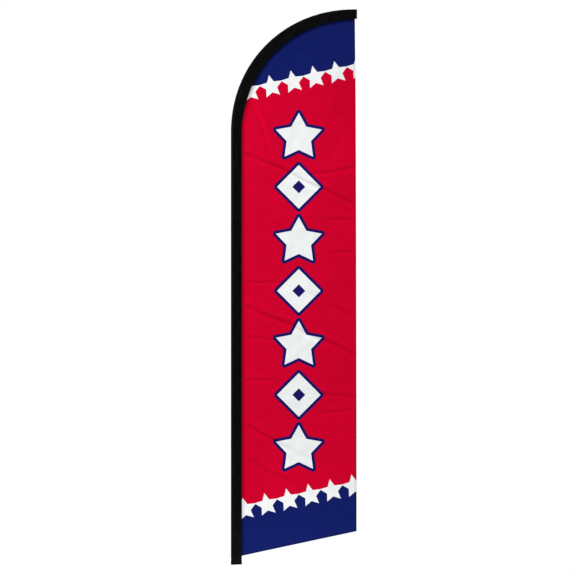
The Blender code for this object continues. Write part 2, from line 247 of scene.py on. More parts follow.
def addBump(tree, shader, height, distance, strength, below=None):
    inputs = {"Height": height, "Distance": distance, "Strength": strength}
    if below:
        inputs["Normal"] = below
    bump = addNode(tree, "ShaderNodeBump", inputs=inputs)
    link(tree, bump.outputs[0], shader, "Normal")
    return bump.outputs[0]


printInks = {
    "red": (0.640, 0.0006, 0.026),
    "navy": (0.0062, 0.0130, 0.126),
    "outline": (0.0110, 0.0080, 0.122),
    "white": (0.905, 0.922, 0.925),
}
printCloth = {
    "knitPitch": 0.0011,
    "knitHeight": 0.00018,
    "poreShade": 0.80,
    "mottle": 0.05,
    "fibre": 0.07,
    "roughness": 0.78,
    "specular": 0.012,
    "shadeOnWhite": 0.6,        # share of the seam and hem shading that white cloth takes
}


def makePrintFinish(name, colour, shading=1.0):
    made, tree, shader = newFinish(name, colour, printCloth["roughness"], specular=printCloth["specular"])
    where = onCloth(tree)
    blotch = fromTo(tree, speckle(tree, where, 5.0, 4.0), 0.3, 0.7, 1 - printCloth["mottle"], 1.0)
    fibre = fromTo(tree, speckle(tree, where, 900.0, 2.0, stretch=(1, 0.35, 1)), 0.25, 0.75,
                   1 - printCloth["fibre"], 1 + printCloth["fibre"])
    knit = weave(tree, where, printCloth["knitPitch"])
    pores = fromTo(tree, knit, 0.0, 0.25, printCloth["poreShade"], 1.0)
    # the point attribute holds painted shade beside the seam and the hems, partly the black cloth under
    # the seam showing through; it darkens the colour
    shade = addNode(tree, "ShaderNodeAttribute", {"attribute_name": "showThroughAndPaintedShade"}).outputs["Fac"]
    under = calc(tree, "SUBTRACT", 1.0, calc(tree, "MULTIPLY", shade, shading))
    amount = product(tree, blotch, fibre, pores, under)
    link(tree, shadeColour(tree, colour, amount), shader, "Base Color")
    rough = fromTo(tree, speckle(tree, where, 60.0), 0.3, 0.7, printCloth["roughness"] - 0.06,
                   printCloth["roughness"] + 0.08)
    link(tree, rough, shader, "Roughness")
    addBump(tree, shader, knit, printCloth["knitHeight"], 0.35)
    return made


blackCloth = {
    "colour": (0.0022, 0.0022, 0.0022),
    "threadPitch": 0.0009,
    "threadHeight": 0.00022,
    "roughness": 0.50,
    "specular": 0.060,
    "twill": 0.0,
    "paintedSheenMottle": (0.60, 1.80),        # darkest and palest share of the colour in the painted sheen and shade patches
    "lint": 1.5,
}


def makeWovenFinish(name, **changes):
    style = dict(blackCloth, **changes)
    made, tree, shader = newFinish(name, style["colour"], style["roughness"], specular=style["specular"])
    where = onCloth(tree)
    threads = weave(tree, where, style["threadPitch"], style["twill"])
    # painted sheen and shade: paler and darker patches at random stand in for light on the cloth's
    # wrinkles; the cloth is also shinier where paler
    paintedSheenMottle = fromTo(tree, speckle(tree, where, 24.0, 5.0), 0.38, 0.70, *style["paintedSheenMottle"])
    lint = fromTo(tree, speckle(tree, where, 420.0, 2.0), 0.62, 0.78, 1.0, style["lint"])
    tint = fromTo(tree, threads, 0.0, 1.0, 0.65, 1.15)
    link(tree, shadeColour(tree, style["colour"], product(tree, paintedSheenMottle, lint, tint)), shader, "Base Color")
    rough = fromTo(tree, paintedSheenMottle, 0.7, 1.5, style["roughness"] + 0.06, style["roughness"] - 0.10)
    link(tree, rough, shader, "Roughness")
    fine = addBump(tree, shader, threads, style["threadHeight"], 0.5)
    addBump(tree, shader, speckle(tree, where, 70.0, 4.0), 0.0006, 0.35, fine)
    return made


redCloth = makePrintFinish("red print", printInks["red"])
navyCloth = makePrintFinish("navy print", printInks["navy"])
whiteCloth = makePrintFinish("white cloth", printInks["white"], printCloth["shadeOnWhite"])
outlineCloth = makePrintFinish("outline print", printInks["outline"])
sleeveCloth = makeWovenFinish("black sleeve cloth")
tapeCloth = makeWovenFinish("black binding tape", colour=(0.0030, 0.0030, 0.0032), threadPitch=0.0013,
                            twill=0.5)
webCloth = makeWovenFinish("black webbing", colour=(0.0040, 0.0040, 0.0042), threadPitch=0.0022,
                           threadHeight=0.0005, twill=1.0)
print("cloth finishes are made")


# ---- the bent path

def runAlong(points):
    # the length walked from the first point to each of them
    return np.concatenate([[0.0], np.cumsum(np.linalg.norm(np.diff(points, axis=0), axis=1))])


def bendPoints(turn):
    angle = np.asarray(turn) * math.pi / 2
    across = 1 - np.clip(np.cos(angle), 0, 1) ** (2 / bend["power"])
    rise = np.clip(np.sin(angle), 0, 1) ** (2 / bend["power"])
    return bend["reach"] * across, bendFoot + bend["rise"] * rise


def makePath(steps=1200):
    # the pole's centre line: points (x, z), their share of the bend, and their length up from the foot
    turn = np.linspace(0, 1, steps)
    x, z = bendPoints(turn)
    levelEnd = sleeveHigh.x + 0.05
    x = np.concatenate([[0.0, 0.0], x[1:], [levelEnd]])
    z = np.concatenate([[0.0, bendFoot], z[1:], [bendTop]])
    turn = np.concatenate([[0.0, 0.0], turn[1:], [1.0]])
    return {"x": x, "z": z, "turn": turn, "length": runAlong(np.stack([x, z], axis=1))}


path = makePath()


def pathValue(what, length):
    return np.interp(length, path["length"], path[what])


def pathAt(length, step=0.002):
    # x, z, inward x, inward z and turn at lengths measured up from the foot
    ahead = np.minimum(np.asarray(length) + step, path["length"][-1])
    behind = np.maximum(np.asarray(length) - step, 0)
    dx, dz = (pathValue(what, ahead) - pathValue(what, behind) for what in ("x", "z"))
    size = np.hypot(dx, dz)
    x, z, turn = (pathValue(what, length) for what in ("x", "z", "turn"))
    return x, z, dz / size, -dx / size, turn


def standing(x, inwardX, z, inwardZ, section):
    # puts a section's (across, thickness) points in the world
    across = section[..., 0]
    return np.stack([x + inwardX * across, section[..., 1], z + inwardZ * across], axis=-1)


def shellFaces(rows, count, ring=False):
    # the faces of a thin shell: rows by count outer points, then as many inner ones, closed at its rims
    total = rows * count
    faces = []
    for k in range(count if ring else count - 1):
        k2 = (k + 1) % count
        for i in range(rows - 1):
            a, b = i * count + k, i * count + k2
            faces.append((a, b, b + count, a + count))
            faces.append((total + a, total + a + count, total + b + count, total + b))
        a, b = total - count + k, total - count + k2
        faces.append((k, total + k, total + k2, k2))
        faces.append((a, b, total + b, total + a))
    if not ring:
        for a in range(0, total - count, count):
            b = a + count
            faces.append((a, b, total + b, total + a))
            a, b = a + count - 1, b + count - 1
            faces.append((b, a, total + a, total + b))
    return faces


sleeve = {
    "widthFoot": 0.0690,        # outer edge to seam
    "widthTip": 0.0645,
    "bendSwell": 0.0060,
    "tipPinch": 0.0050,
    "lip": 0.0100,              # stitched lip beside the seam
    "lipGap": 0.00030,          # half the space between the lip's two layers
    "wall": 0.00050,
    "noseTip": 0.0074,          # round edge on the thin end of the rod
    "easeBelow": 0.0020,        # the round edge starts to close this far below the bend
    "easeLength": 0.300,
    "alongStep": 0.0110,
    "noseSteps": 18,
    "flankSteps": 16,
    "lipSteps": 3,
    "pucker": 0.0017,
    "drape": 0.0028,
}


def smoothStep(value):
    value = np.clip(value, 0, 1)
    return value * value * (3 - 2 * value)


def seamAcross(turn):
    # the sleeve is a little wider through the bend and closes in towards its tip
    taper = (sleeve["widthTip"] - sleeve["widthFoot"]) * turn
    swell = sleeve["bendSwell"] * smoothStep(turn / 0.24) * smoothStep((1 - turn) / 0.5)
    pinch = sleeve["tipPinch"] * smoothStep((turn - 0.86) / 0.2)
    return sleeve["widthFoot"] + taper + swell - pinch - noseFoot


def noseRadius(x, z):
    # the sleeve's round edge closes from tube size to rod size round the bend
    travelled = x + z - bendFoot + sleeve["easeBelow"]
    return noseFoot + (sleeve["noseTip"] - noseFoot) * smoothStep(travelled / sleeve["easeLength"])


def hills(x, z, scale, seed):
    # smooth noise about 0, one value for each point
    return np.array([noise.noise(Vector((a * scale, b * scale, seed))) for a, b in zip(x, z)])


def newMesh(name, points, faces, sharpAbove=55):
    mesh = bpy.data.meshes.new(name)
    mesh.from_pydata([tuple(p) for p in points], [], [tuple(f) for f in faces])
    mesh.validate()
    mesh.shade_smooth()
    mesh.set_sharp_from_angle(angle=math.radians(sharpAbove))
    made = bpy.data.objects.new(name, mesh)
    bpy.context.scene.collection.objects.link(made)
    return made


def clothPiece(name, points, faces, flat, *finishes):
    # a mesh with the cloth's own flat measure; flat holds each point's (u, v) in metres
    made = newMesh(name, points, faces)
    for finish in finishes:
        made.data.materials.append(finish)
    layer = made.data.uv_layers.new(name="cloth")
    corners = np.empty(len(made.data.loops), dtype=np.int64)
    made.data.loops.foreach_get("vertex_index", corners)
    layer.data.foreach_set("uv", np.asarray(flat, dtype=np.float32)[corners].ravel())
    return made


# ---- the print: two bands of stars and a column of seven plain ornaments

bands = {
    "slope": 12.15,             # degrees, the same as the panel's foot
    "starRadius": 0.0790,       # the two arms that meet the next stars
    "tipRadius": 0.0745,        # the top and the two legs
    "starInner": 0.0367,
    "spacing": 0.1405,
    "topStar": (0.2400, 3.0170),
    "footStar": (0.2114, 0.3800),
    "stars": range(-2, 5),
    "joinHeight": 0.27,         # the two colours meet this share of a radius above the stars' centres
}
bandSlope = math.radians(bands["slope"])
bandRise = math.tan(bandSlope)
ornaments = {
    "middleX": 0.4135,
    "firstTop": 2.8515,
    "pitch": 0.3281,
    "height": 0.2760,
    "count": 7,
    "outline": 0.0190,
    "starInner": 0.53,
    "diamondWidth": 0.2750,
    "holeShare": 0.30,          # the dark diamond inside each white one
}


def rotated(points, degrees, centre):
    cosine, sine = math.cos(math.radians(degrees)), math.sin(math.radians(degrees))
    return [(centre[0] + x * cosine - z * sine, centre[1] + x * sine + z * cosine) for x, z in points]


def starOutline(tip, arm, inner):
    # five points, the top one first; the two side arms may reach further than the other points
    outline = []
    for i in range(10):
        reach = inner if i % 2 else (arm if i in (2, 8) else tip)
        angle = math.pi / 2 + i * math.pi / 5
        outline.append((reach * math.cos(angle), reach * math.sin(angle)))
    return outline


def starRow(start):
    step = Vector((math.cos(bandSlope), math.sin(bandSlope))) * bands["spacing"]
    shape = starOutline(bands["tipRadius"], bands["starRadius"], bands["starInner"])
    return [rotated(shape, bands["slope"], Vector(start) + step * i) for i in bands["stars"]]


def joinLine(start, x):
    # the height at which the two colours of a band meet
    lift = bands["starRadius"] * bands["joinHeight"]
    lineX, lineZ = start[0] - lift * math.sin(bandSlope), start[1] + lift * math.cos(bandSlope)
    return lineZ + (x - lineX) * bandRise


def footLine(x):
    # the height of the panel's slanted foot
    return panelLow.z + (x - panelLow.x) * bandRise


def grownOutline(outline, distance, arcSteps=6):
    # a counter-clockwise outline moved outwards, round at its points and sharp in its notches
    grown = []
    count = len(outline)
    for i in range(count):
        before, here, after = (Vector(outline[(i + k) % count]) for k in (-1, 0, 1))
        arrive, leave = (here - before).normalized(), (after - here).normalized()
        firstNormal, lastNormal = Vector((arrive.y, -arrive.x)), Vector((leave.y, -leave.x))
        turn = arrive.x * leave.y - arrive.y * leave.x
        if turn < 0:
            middle = (firstNormal + lastNormal).normalized()
            grown.append(here + middle * distance / middle.dot(firstNormal))
            continue
        first = math.atan2(firstNormal.y, firstNormal.x)
        sweep = (math.atan2(lastNormal.y, lastNormal.x) - first) % (2 * math.pi)
        for step in range(arcSteps + 1):
            angle = first + sweep * step / arcSteps
            grown.append(here + Vector((math.cos(angle), math.sin(angle))) * distance)
    return [(p[0], p[1]) for p in grown]


def makeOrnaments():
    starRadius = ornaments["height"] / (1 + math.cos(math.pi / 5))
    shapes, holes = [], []
    for i in range(ornaments["count"]):
        top = ornaments["firstTop"] - i * ornaments["pitch"]
        half = ornaments["height"] / 2
        if i % 2 == 0:
            outline = starOutline(starRadius, starRadius, starRadius * ornaments["starInner"])
            centre = (ornaments["middleX"], top - starRadius)
        else:
            wide = ornaments["diamondWidth"] / 2
            outline = [(0, half), (-wide, 0), (0, -half), (wide, 0)]
            centre = (ornaments["middleX"], top - half)
            share = ornaments["holeShare"]
            holes.append(rotated([(x * share, z * share) for x, z in outline], 0, centre))
        white = rotated(outline, 0, centre)
        shapes.append((white, grownOutline(white, ornaments["outline"])))
    return shapes, holes


def inside(x, z, outline):
    found = np.zeros(len(x), dtype=bool)
    count = len(outline)
    for i in range(count):
        ax, az = outline[i]
        bx, bz = outline[(i + 1) % count]
        if az == bz:
            continue
        crosses = (az > z) != (bz > z)
        found ^= crosses & (x < (bx - ax) * (z - az) / (bz - az) + ax)
    return found


# ---- the cloth panel

panel = {
    "tuck": 0.0080,             # the panel's edge runs this far in between the sleeve's two layers
    "flyFlare": 0.0080,
    "grid": 0.0095,
    "thickness": 0.00028,
    "hemWidth": 0.0160,
    "hemThickness": 0.00090,
    "hemStep": 0.0012,          # how soon the hem's edge thins to the plain cloth
    "seamShadeWidth": 0.025,
    "seamShade": 0.50,          # how far painted shade darkens the print beside the seam, partly the black cloth under the seam showing through
    # more painted shade beside the seam round the bend
    "bendShade": 0.40,
    "hemShade": 0.40,           # how dark the painted shade makes the doubled hem at its cut
    "hemShadeWidth": 0.020,
    "flyOut": 0.0025,           # the cloth's free edge hangs this far past its plain cut
    "billow": 0.0060,
    "ripple": 0.0016,
    "creaseDepth": 2.5,
}
# Creases as (start x, start z, end x, end z, depth, half width), in metres.
creases = [
    (0.060, 2.605, 0.765, 2.270, 0.0030, 0.013),
    (0.480, 2.455, 0.765, 2.505, 0.0014, 0.012),
    (0.060, 1.640, 0.765, 1.322, 0.0026, 0.014),
    (0.500, 1.705, 0.765, 1.548, 0.0016, 0.014),
    (0.070, 0.892, 0.330, 0.730, 0.0034, 0.013),
    (0.330, 0.730, 0.620, 0.620, 0.0012, 0.018),
    (0.070, 0.668, 0.400, 0.490, 0.0020, 0.016),
    (0.060, 1.785, 0.280, 1.778, 0.0013, 0.010),
    (0.060, 1.430, 0.270, 1.420, 0.0013, 0.010),
    (0.060, 1.166, 0.270, 1.158, 0.0012, 0.011),
    (0.590, 2.180, 0.765, 2.172, 0.0014, 0.011),
    (0.610, 1.974, 0.765, 1.968, 0.0012, 0.010),
    (0.540, 1.082, 0.765, 1.050, 0.0014, 0.012),
    (0.560, 0.960, 0.765, 0.975, 0.0011, 0.012),
    (0.250, 3.300, 0.560, 3.190, 0.0014, 0.020),
    (0.120, 2.930, 0.230, 2.620, 0.0014, 0.016),
]


def creaseHeight(x, z):
    # each crease is a soft valley with a low ridge above it, fading out at both ends
    height = np.zeros_like(x)
    for startX, startZ, endX, endZ, depth, width in creases:
        runX, runZ = endX - startX, endZ - startZ
        size = math.hypot(runX, runZ)
        along = ((x - startX) * runX + (z - startZ) * runZ) / size
        wander = 0.35 * width * np.sin(along * 19 + startZ * 7)
        off = (-(x - startX) * runZ + (z - startZ) * runX) / size + wander
        fade = smoothStep(along / 0.09 + 0.55) * smoothStep((size - along) / 0.12 + 0.45)
        valley = np.exp(-(off / width) ** 2)
        ridge = 0.6 * np.exp(-((off - 1.9 * width) / (1.4 * width)) ** 2)
        height += panel["creaseDepth"] * depth * fade * (valley - ridge)
    return height


def seamDistance(x, z):
    # distance of each point from the seam
    length = np.arange(0, path["length"][-1], 0.004)
    pathX, pathZ, inwardX, inwardZ, turn = pathAt(length)
    seamX, seamZ = pathX + inwardX * seamAcross(turn), pathZ + inwardZ * seamAcross(turn)
    return np.array([np.min(np.hypot(seamX - a, seamZ - b)) for a, b in zip(x, z)])


def panelHeight(x, z, fromSeam):
    # how far the cloth stands back (+Y) or forward from the flat, held flat along the seam
    across = (x - panelLow.x) / (panelHigh.x - panelLow.x)
    loose = smoothStep(fromSeam / 0.22)
    billow = panel["billow"] * (np.sin(z * 3.1 + x * 2.4 + 0.6) * 0.6 + hills(x, z, 2.6, 4.7) * 0.9)
    ripple = panel["ripple"] * hills(x + 0.35 * z, z - 0.35 * x, 16.0, 9.1)
    fly = 0.0035 * smoothStep((across - 0.75) * 4) * np.sin(z * 11.0 + 1.3)
    held = smoothStep((fromSeam - 0.011) / 0.045)
    return loose * (billow + fly) + held * (creaseHeight(x, z) + ripple)


def walk(points, spacing, closed=True):
    # the same outline with extra points, none further apart than the spacing
    walked = []
    last = len(points) if closed else len(points) - 1
    for i in range(last):
        ax, az = points[i]
        bx, bz = points[(i + 1) % len(points)]
        pieces = max(1, math.ceil(math.hypot(bx - ax, bz - az) / spacing))
        walked += [(ax + (bx - ax) * k / pieces, az + (bz - az) * k / pieces) for k in range(pieces)]
    if not closed:
        walked.append(points[-1])
    return walked


def seamLine(beyond, footZ, reach, spacing=0.012):
    # along the seam, moved towards the panel, from a height out to a reach
    length = np.arange(footZ, path["length"][-1], spacing)
    x, z, inwardX, inwardZ, turn = pathAt(length)
    across = seamAcross(turn) + beyond
    lineX, lineZ = x + inwardX * across, z + inwardZ * across
    kept = lineX < reach
    endZ = np.interp(reach, lineX[len(lineX) // 2:], lineZ[len(lineX) // 2:])
    return list(zip(lineX[kept], lineZ[kept])) + [(reach, endZ)]


def flyEdge(share):
    # the free edge's reach, from 0 at its foot to 1 at its top
    flare = panel["flyFlare"] * (1 - share ** 2)
    return panelHigh.x - panel["flyFlare"] + flare + panel["flyOut"] * smoothStep((1 - share) * 6)


def makePanelOutline():
    flyTop = panelHigh.x - panel["flyFlare"]
    seam = seamLine(-panel["tuck"], panelLow.z, flyTop)
    footZ = footLine(panelHigh.x)
    seam[0] = (seam[0][0], footLine(seam[0][0]))
    topZ = seam[-1][1]
    fly = []
    for share in np.linspace(1, 0, 24)[1:]:
        fly.append((flyEdge(share), footZ + (topZ - footZ) * share))
    return walk(seam + fly, panel["grid"])


def edgeDistance(x, z):
    # how far each point lies in from the foot's or the free edge's cut
    footZ = footLine(panelHigh.x)
    above = (z - footLine(x)) * math.cos(bandSlope)
    share = np.clip((z - footZ) / (panelHigh.z - footZ), 0, 1)
    return np.minimum(above, flyEdge(share) - x)


def hemShare(x, z):
    # 1 on the hem strips along the foot and the free edge, 0 elsewhere
    return smoothStep((panel["hemWidth"] - edgeDistance(x, z)) / panel["hemStep"])


def cutPanel(outline, rows, shapes, holes):
    # the flat cloth as triangles, with edges along every line of the print and of the hems
    spacing = panel["grid"]
    points, edges = [], []

    def addLoop(loop, closed=True):
        first = len(points)
        points.extend(loop)
        count = len(loop)
        edges.extend((first + i, first + (i + 1) % count) for i in range(count if closed else count - 1))

    addLoop(outline)
    for loop in rows + [loop for pair in shapes for loop in pair] + holes:
        addLoop(walk(loop, spacing))
    for start in (bands["topStar"], bands["footStar"]):
        ends = [(reach, joinLine(start, reach)) for reach in (0.0, panelHigh.x + 0.02)]
        addLoop(walk(ends, spacing, closed=False), closed=False)
    for inset in (panel["hemWidth"], panel["hemWidth"] - panel["hemStep"]):
        ends = [(reach, footLine(reach) + inset) for reach in (0.03, panelHigh.x)]
        addLoop(walk(ends, spacing, closed=False), closed=False)
        flyFrom = panelHigh.x - panel["flyFlare"] - 0.0005
        addLoop([(x - inset, z) for x, z in outline if x > flyFrom], closed=False)

    fixed = np.array(points)
    clear = spacing * 0.45
    gridX = np.arange(panelLow.x - 0.01, panelHigh.x, spacing)
    gridZ = np.arange(panelLow.z, panelHigh.z + 0.01, spacing * 0.866)
    for row, height in enumerate(gridZ):
        near = fixed[np.abs(fixed[:, 1] - height) < clear]
        for reach in gridX + (spacing / 2 if row % 2 else 0.0):
            if not len(near) or np.min(np.hypot(near[:, 0] - reach, near[:, 1] - height)) >= clear:
                points.append((reach, height))

    flat, _, faces, _, _, _ = geometry.delaunay_2d_cdt([Vector(p) for p in points], edges, [], 0, 1e-6)
    flat = np.array([(p.x, p.y) for p in flat])
    faces = np.array(faces)
    middle = flat[faces].mean(axis=1)
    faces = faces[inside(middle[:, 0], middle[:, 1], outline)]
    used, renumbered = np.unique(faces, return_inverse=True)
    return flat[used], renumbered.reshape(-1, 3)


def makePanel():
    rows = starRow(bands["topStar"]) + starRow(bands["footStar"])
    shapes, holes = makeOrnaments()
    flat, faces = cutPanel(makePanelOutline(), rows, shapes, holes)
    x, z = flat[:, 0], flat[:, 1]
    middle = flat[faces].mean(axis=1)
    ink = inkOf(middle[:, 0], middle[:, 1], rows, shapes, holes)

    fromSeam = seamDistance(x, z)
    height = panelHeight(x, z, fromSeam)
    thick = panel["thickness"] + (panel["hemThickness"] - panel["thickness"]) * hemShare(x, z)
    front = np.stack([x, height - thick / 2, z], axis=1)
    back = np.stack([x, height + thick / 2, z], axis=1)
    count = len(x)
    first, second = flat[faces[:, 1]] - flat[faces[:, 0]], flat[faces[:, 2]] - flat[faces[:, 0]]
    area = first[:, 0] * second[:, 1] - second[:, 0] * first[:, 1]
    faces[area < 0] = faces[area < 0][:, ::-1]
    halves = [tuple(face) for face in faces] + [tuple(face[::-1] + count) for face in faces]
    inks = [*ink, *ink]
    directed = {}
    for face, colour in zip(faces, ink):
        for i in range(3):
            directed[(face[i], face[(i + 1) % 3])] = colour
    for (a, b), colour in directed.items():
        if (b, a) not in directed:
            halves.append((b, a, a + count, b + count))
            inks.append(colour)

    made = clothPiece("flag_panel_cloth", np.concatenate([front, back]), halves, np.tile(flat, (2, 1)),
                      redCloth, navyCloth, whiteCloth, outlineCloth)
    made.data.polygons.foreach_set("material_index", np.array(inks, dtype=np.int32))
    # painted shade kept on the points: darker beside the seam, more so round the bend, and towards the
    # cut of the hems; beside the seam it is partly the black cloth under the seam showing through
    onBend = smoothStep((z - bendFoot - 0.06) / 0.22)
    reach = panel["seamShadeWidth"] * (1 + 0.15 * onBend)
    shade = (panel["seamShade"] + panel["bendShade"] * onBend) * (1 - smoothStep(fromSeam / reach))
    towardsCut = 1 - np.clip(edgeDistance(x, z) / panel["hemShadeWidth"], 0, 1)
    shade = np.maximum(shade, panel["hemShade"] * towardsCut ** 2)
    layer = made.data.attributes.new("showThroughAndPaintedShade", "FLOAT", "POINT")
    layer.data.foreach_set("value", np.tile(shade, 2).astype(np.float32))
    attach(made, "flag")
    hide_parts("flag_panel")


def inkOf(x, z, rows, shapes, holes):
    # 0 red, 1 navy, 2 white, 3 the ornaments' outline, for each point of the print
    ink = np.zeros(len(x), dtype=np.int32)
    ink[z > joinLine(bands["topStar"], x)] = 1
    ink[z < joinLine(bands["footStar"], x)] = 1
    whites, outlines = zip(*shapes)
    for loops, colour in ((outlines, 3), (whites, 2), (holes, 3), (rows, 2)):
        for loop in loops:
            ink[inside(x, z, loop)] = colour
    return ink


makePanel()


# ---- the sleeve

def sectionLoop(turn, x, z, stand, flankSteps, noseSteps):
    # (across, thickness) points and outward directions, from the lip's back round the nose to its front,
    # then how far across the nose and the lip reach
    radius = float(noseRadius(x, z)) + stand
    centre = float(noseRadius(x, z)) - noseFoot
    seam = float(seamAcross(turn))
    half = sleeve["wall"] + sleeve["lipGap"] / 2 + stand
    lipStart = seam - sleeve["lip"]
    reach = math.hypot(lipStart - centre, half)
    touch = math.atan2(half, lipStart - centre) + math.acos(radius / reach)
    angles = np.linspace(touch, 2 * math.pi - touch, noseSteps + 1)
    arcFacing = np.stack([np.cos(angles), np.sin(angles)], axis=1)
    arc = arcFacing * radius + (centre, 0)
    lip = np.linspace((seam + stand, half), (lipStart, half), sleeve["lipSteps"], endpoint=False)
    side = np.concatenate([lip, np.linspace((lipStart, half), arc[0], flankSteps, endpoint=False)])
    facing = np.repeat([(0.0, 1.0), arcFacing[0]], [sleeve["lipSteps"], flankSteps], axis=0)
    loop = np.concatenate([side, arc, side[::-1] * (1, -1)])
    outward = np.concatenate([facing, arcFacing, facing[::-1] * (1, -1)])
    return loop, outward, centre + radius, lipStart


def sleeveFolds(across, around, length, noseEnd, lipStart, turn):
    # outward movement of the cloth; inward only where there is no pole or pocket behind it
    beforePocket = 1 - smoothStep((length - length.max() + 0.115) / 0.045)
    fromNose, fromLip = across - noseEnd, lipStart - across
    flank = smoothStep((fromNose + 0.008) / 0.014) * smoothStep((fromLip + 0.002) / 0.010)
    free = smoothStep(fromNose / 0.012) * smoothStep(fromLip / 0.014)
    wander = hills(around, length, 7.0, 2.3)
    slow = hills(around * 0.8 + 0.5 * length, length, 11.0, 7.7)
    quick = hills(around * 1.2 - 0.4 * length, length, 34.0, 5.1)
    fold = 0.5 + 0.5 * np.sin(length * 2 * math.pi / 0.052 + 5 * wander + across * 60)
    sharp = smoothStep(fold * 1.6 - 0.6)
    nearSeam = np.exp(-(fromLip / 0.013) ** 2)
    hang = free * (1.5 * slow + 0.5 * quick) * beforePocket
    drape = sleeve["drape"] * (hang + flank * np.abs(quick) * 0.8)
    pucker = sleeve["pucker"] * flank * sharp * (0.35 + nearSeam)
    pucker *= 0.6 + 0.9 * np.abs(wander) + 0.5 * turn
    skin = 0.00035 * (0.5 + 0.5 * quick)
    return drape + pucker + skin * smoothStep(fromLip / 0.01)


def sleeveStations(foot, reach, step):
    bent = path["x"] > 0
    total = float(np.interp(reach, path["x"][bent], path["length"][bent]))
    return np.linspace(foot, total, max(2, int((total - foot) / step)))


def makeSleeve():
    length = sleeveStations(sleeveLow.z, sleeveHigh.x, sleeve["alongStep"])
    x, z, inwardX, inwardZ, turn = pathAt(length)
    steps = (sleeve["flankSteps"], sleeve["noseSteps"])
    made = [sectionLoop(turn[i], x[i], z[i], 0.0, *steps) for i in range(len(length))]
    rows, facings, ends, lips = (np.array(values) for values in zip(*made))
    arounds = np.array([runAlong(loop) for loop in rows])
    count = rows.shape[1]
    wide = [np.repeat(values, count) for values in (length, ends, lips, turn)]
    folds = sleeveFolds(rows[:, :, 0].ravel(), arounds.ravel(), *wide).reshape(-1, count)
    hem = 1 - smoothStep((length - length[0] - 0.028) / 0.03)
    folds *= (1 - 0.85 * hem)[:, None]
    sections = (rows + facings * folds[:, :, None], rows + facings * (folds - sleeve["wall"])[:, :, None])
    where = [value[:, None] for value in (x, inwardX, z, inwardZ)]
    points = np.concatenate([standing(*where, section).reshape(-1, 3) for section in sections])
    flat = np.stack([arounds, np.repeat(length[:, None], count, axis=1)], axis=2).reshape(-1, 2)
    made = clothPiece("pole_sleeve_cloth", points, shellFaces(len(length), count), np.tile(flat, (2, 1)),
                      sleeveCloth)
    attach(made, "flag")
    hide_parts("pole_sleeve")


makeSleeve()


# ---- stitching: every stitch is a short raised thread

stitching = {
    "pitch": 0.0042,
    "stitch": 0.0031,
    "thread": 0.00034,
    "buried": 0.4,              # share of the thread's radius that sinks into the cloth
    "lipRows": (-0.0030, -0.0072),
    "aboveFoot": 0.030,
    "beforeTip": 0.004,
    "step": 0.006,
    "inFromHem": 0.0030,
    "flyPoints": 420,
    "footPoints": 90,
    "sides": 6,
}
threadStyle = {
    "black": (0.007, 0.007, 0.0075),
    "hem": (0.020, 0.010, 0.045),
}


def makeThreadFinish(name, colour):
    made, tree, shader = newFinish(name, colour, 0.55, specular=0.10)
    where = onPiece(tree)
    ply = speckle(tree, where, 2600.0, 1.0)
    tint = fromTo(tree, ply, 0.3, 0.7, 0.7, 1.3)
    link(tree, shadeColour(tree, colour, tint), shader, "Base Color")
    addBump(tree, shader, ply, 0.0001, 0.4)
    return made


blackThread = makeThreadFinish("black thread", threadStyle["black"])
hemThread = makeThreadFinish("dark blue thread", threadStyle["hem"])


def stitchTemplate():
    # one thread from end to end: x along, y out of the cloth, z to the side
    length, radius, sides = stitching["stitch"], stitching["thread"], stitching["sides"]
    points, faces = [], []
    stations = ((-0.5, 0.25, -0.8), (-0.28, 1.0, 0.0), (0.28, 1.0, 0.0), (0.5, 0.25, -0.8))
    for along, size, lift in stations:
        for k in range(sides):
            angle = 2 * math.pi * k / sides
            rise = radius * (size * math.sin(angle) + lift + 1 - stitching["buried"])
            points.append((along * length, rise, radius * size * 1.15 * math.cos(angle)))
    last = len(points) - sides
    for i in range(0, last, sides):
        for k in range(sides):
            a, b = i + k, i + (k + 1) % sides
            faces.append((a, a + sides, b + sides, b))
    faces.append(tuple(range(sides)))
    faces.append(tuple(range(last + sides - 1, last - 1, -1)))
    return np.array(points), faces


def placeStitches(rows):
    # each row is (points, outward directions) along a seam
    template, shape = stitchTemplate()
    points = []
    for line, outward in rows:
        line, outward = np.asarray(line, dtype=float), np.asarray(outward, dtype=float)
        run = runAlong(line)
        count = int(run[-1] / stitching["pitch"])
        middles = (np.arange(count) + 0.5) * run[-1] / count
        half = stitching["stitch"] / 2

        def at(where, values):
            return np.stack([np.interp(where, run, values[:, k]) for k in range(3)], axis=1)

        centre = at(middles, line)
        along = at(middles + half, line) - at(middles - half, line)
        along /= np.linalg.norm(along, axis=1)[:, None]
        out = at(middles, outward)
        side = np.cross(along, out)
        side /= np.linalg.norm(side, axis=1)[:, None]
        out = np.cross(side, along)
        axes = np.stack([along, out, side], axis=1)
        points.append((centre[:, None] + template @ axes).reshape(-1, 3))
    points = np.concatenate(points)
    starts = range(0, len(points), len(template))
    return points, [tuple(start + v for v in face) for start in starts for face in shape], len(starts)


def stitchRow(line, side):
    # a row that lies on the front (-1) or the back (1) of flat cloth
    return line, np.tile((0.0, float(side), 0.0), (len(line), 1))


def makeStitches(name, rows, finish):
    points, faces, count = placeStitches(rows)
    made = newMesh(name, points, faces)
    made.data.materials.append(finish)
    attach(made, "flag")
    print(name, "has", count, "stitches")


tape = {
    "onSleeve": 0.0080,
    "onPanel": 0.0100,
    "thickness": 0.00055,
    "thinEdge": 0.55,           # share of the thickness left at the tape's two edges
    "ripple": 0.00012,
    "offCloth": 0.00008,
    "aboveFoot": 0.0015,
    "columns": 7,
    "step": 0.0085,
}


def clothBack(x, z, across):
    # height of the back face that the tape lies on
    lip = sleeve["wall"] + sleeve["lipGap"] / 2
    cloth = panelHeight(x, z, seamDistance(x, z)) + panel["thickness"] / 2
    return np.where(across < 0.0004, np.maximum(lip, cloth), cloth + lip * np.exp(-across / 0.0025))


